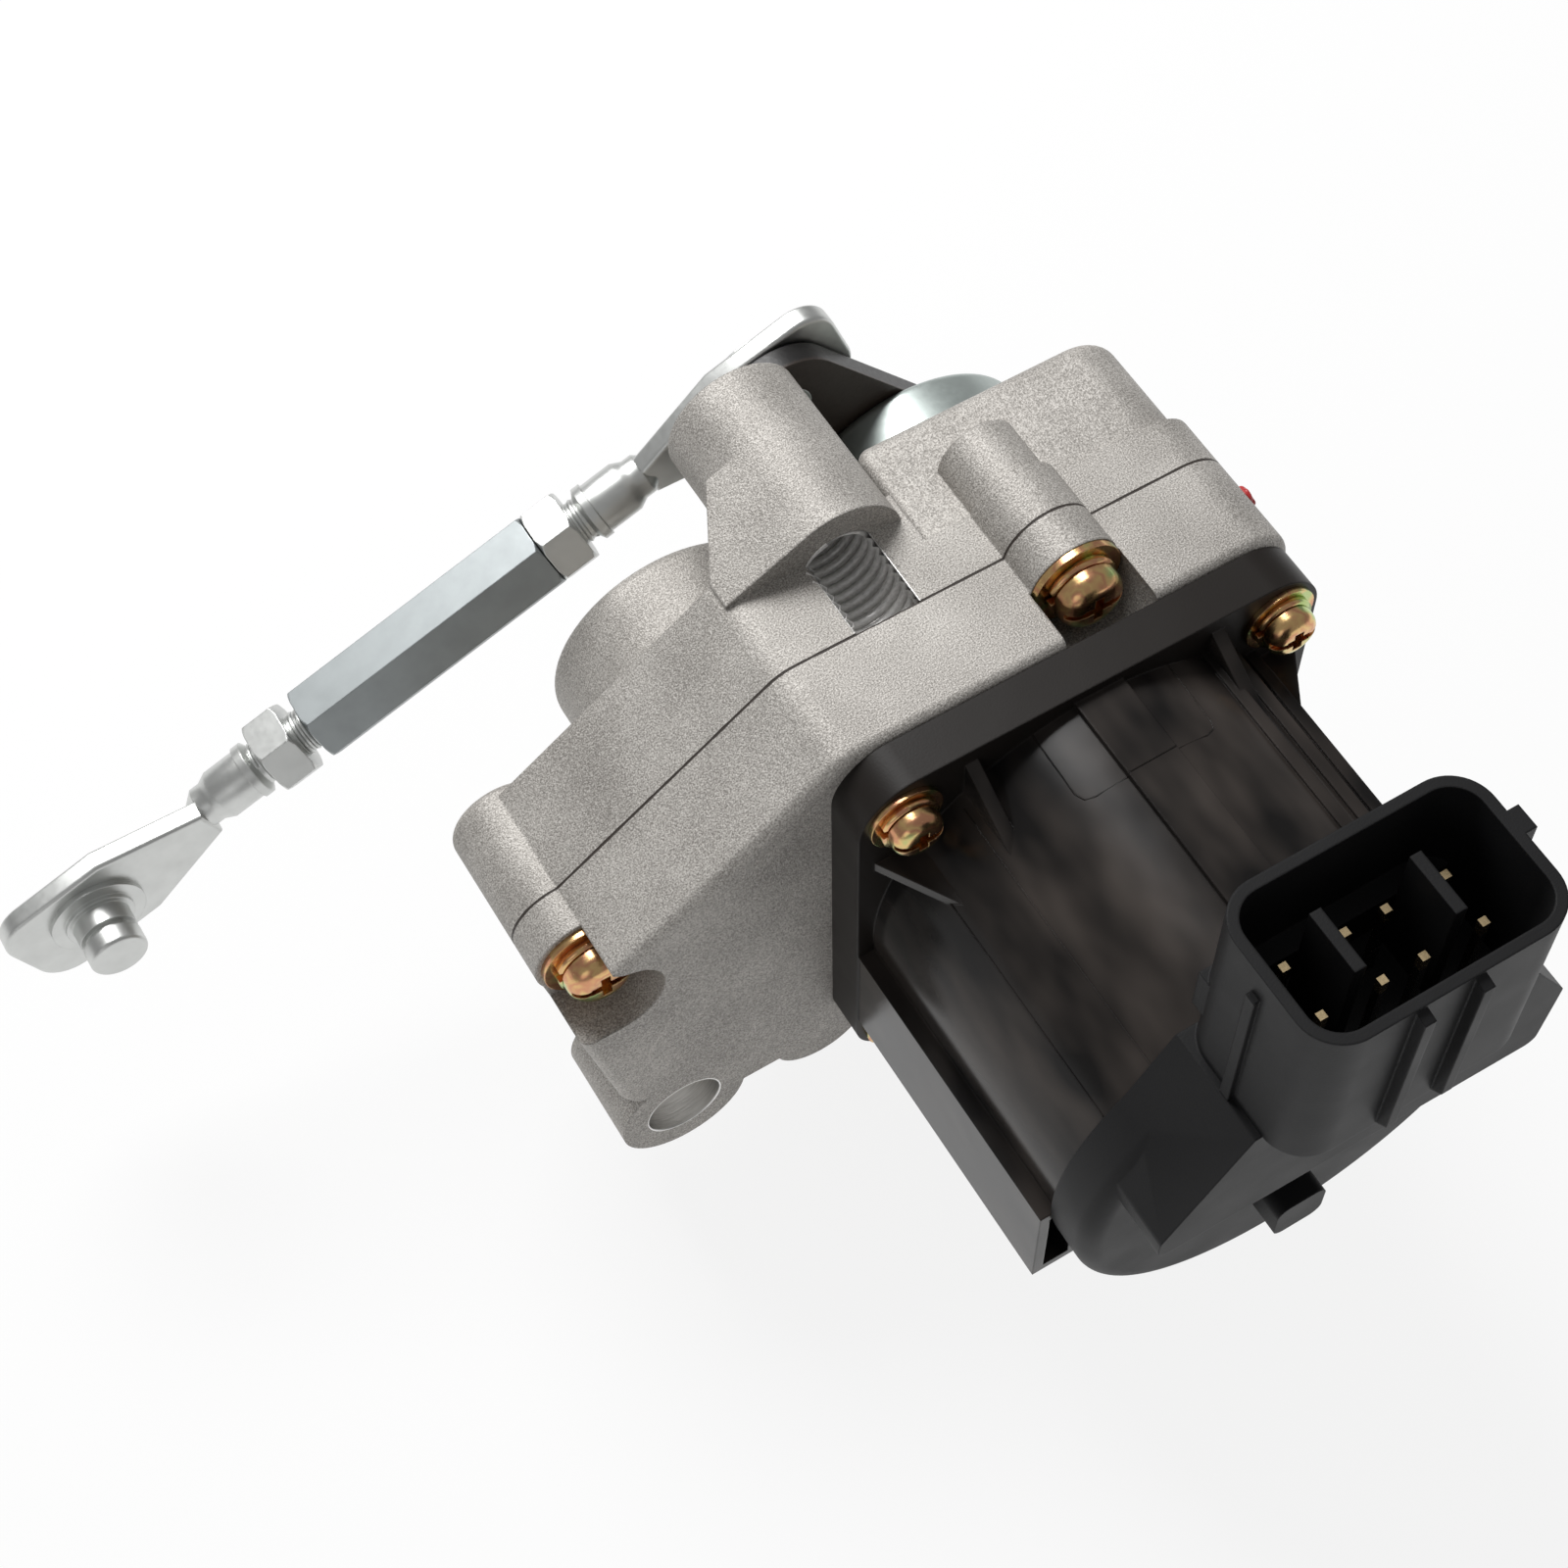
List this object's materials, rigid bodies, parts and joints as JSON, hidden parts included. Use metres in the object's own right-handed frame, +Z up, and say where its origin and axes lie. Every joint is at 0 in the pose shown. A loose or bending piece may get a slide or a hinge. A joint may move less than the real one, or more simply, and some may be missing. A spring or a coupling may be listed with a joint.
{
  "type": "turbo actuator",
  "caption": "Electric turbocharger actuator: a motor on a die-cast gearbox with a side lever and an adjustable link rod, a plug connector and two bolting points.",
  "frame": {"origin": "centre of the tapped boss at its rear mouth", "axes": "+Y from the motor towards the lever, along the tapped boss; +Z up, towards the connector; +X to the right, away from the link rod"},
  "size_m": [0.1593, 0.1341, 0.1025],
  "materials": {
    "cast_alloy": "shot-blasted casting, speckled",
    "case_black": "glossy moulded",
    "cap_black": "satin moulded",
    "pin_gold": "polished tip",
    "yellow_zinc": "iridescent yellow zinc",
    "bright_zinc": "bright zinc",
    "lever_black": "black coating",
    "cup_zinc": "pale zinc",
    "seal_rubber": "soft",
    "core_steel": "laminated",
    "magnet_dark": "ground",
    "winding_copper": "enamelled wire",
    "board_green": "lacquered",
    "ring_steel": "ground",
    "gear_steel": "cut teeth",
    "bush_bronze": "sintered"
  },
  "bodies": {
    "gearbox": {"gear_housing": "cast_alloy", "gear_cover": "cast_alloy", "motor_case": "case_black", "end_cap": "cap_black", "connector_pins": "pin_gold", "housing_screws": "yellow_zinc", "housing_spring_washers": "yellow_zinc", "housing_flat_washers": "yellow_zinc", "case_screws": "yellow_zinc", "case_spring_washers": "yellow_zinc", "case_flat_washers": "yellow_zinc", "flange_seal": "seal_rubber", "stator_core": "core_steel", "stator_coils": "winding_copper", "sensor_board": "board_green", "motor_bearing_outer_rings": "ring_steel", "output_bearing_outer_rings": "ring_steel", "shaft_seal": "seal_rubber", "idler_axle": "gear_steel"},
    "rotor": {"motor_shaft": "gear_steel", "rotor_core": "core_steel", "rotor_magnet": "magnet_dark", "motor_bearing_inner_rings": "ring_steel", "motor_pinion": "gear_steel"},
    "idler": {"idler_gear": "gear_steel", "idler_pinion": "gear_steel", "idler_bushes": "bush_bronze"},
    "output": {"output_shaft": "bright_zinc", "sector_gear": "gear_steel", "shaft_cup": "cup_zinc", "actuator_lever": "lever_black", "lever_washer": "bright_zinc", "lever_nut": "bright_zinc", "lever_pin": "bright_zinc", "pin_clip": "bright_zinc", "output_bearing_inner_rings": "ring_steel"},
    "upper_link": {"upper_rod_end": "bright_zinc", "upper_jam_nut": "bright_zinc"},
    "turnbuckle": {"turnbuckle": "bright_zinc"},
    "lower_link": {"lower_rod_end": "bright_zinc", "lower_jam_nut": "bright_zinc", "lower_pin": "bright_zinc"}
  },
  "joints": [
    {"name": "lever_swing", "type": "hinge", "parent": "gearbox", "child": "output", "pos_m": [0.0259, -0.0374, -0.0311], "axis": [0, 1, 0], "range_deg": [0, 40]},
    {"name": "idler_turn", "type": "hinge", "parent": "gearbox", "child": "idler", "pos_m": [-0.0136, -0.0374, -0.034], "axis": [0, 1, 0], "range_deg": [-166, 0.2]},
    {"name": "rotor_turn", "type": "hinge", "parent": "gearbox", "child": "rotor", "pos_m": [0.0163, -0.0374, -0.0316], "axis": [0, 1, 0], "range_deg": [-0.2, 829]},
    {"name": "rod_swing", "type": "hinge", "parent": "output", "child": "upper_link", "pos_m": [0.0083, 0.0066, -0.0053], "axis": [0, 1, 0], "range_deg": [-50, 20]},
    {"name": "turnbuckle_turn", "type": "hinge", "parent": "upper_link", "child": "turnbuckle", "pos_m": [0.0083, 0.0066, -0.0053], "axis": [-0.9385, 0, -0.3453], "range_deg": [-271, 721]},
    {"name": "lower_end_slide", "type": "slide", "parent": "upper_link", "child": "lower_link", "axis": [-0.9385, 0, -0.3453], "range_m": [-0.0015, 0.004]}
  ],
  "couplings": [
    {"joint": "idler_turn", "follows": "lever_swing", "ratio": -4.1429},
    {"joint": "rotor_turn", "follows": "lever_swing", "ratio": 20.714},
    {"joint": "turnbuckle_turn", "follows": "lower_end_slide", "rad_per_m": 3141.6}
  ]
}
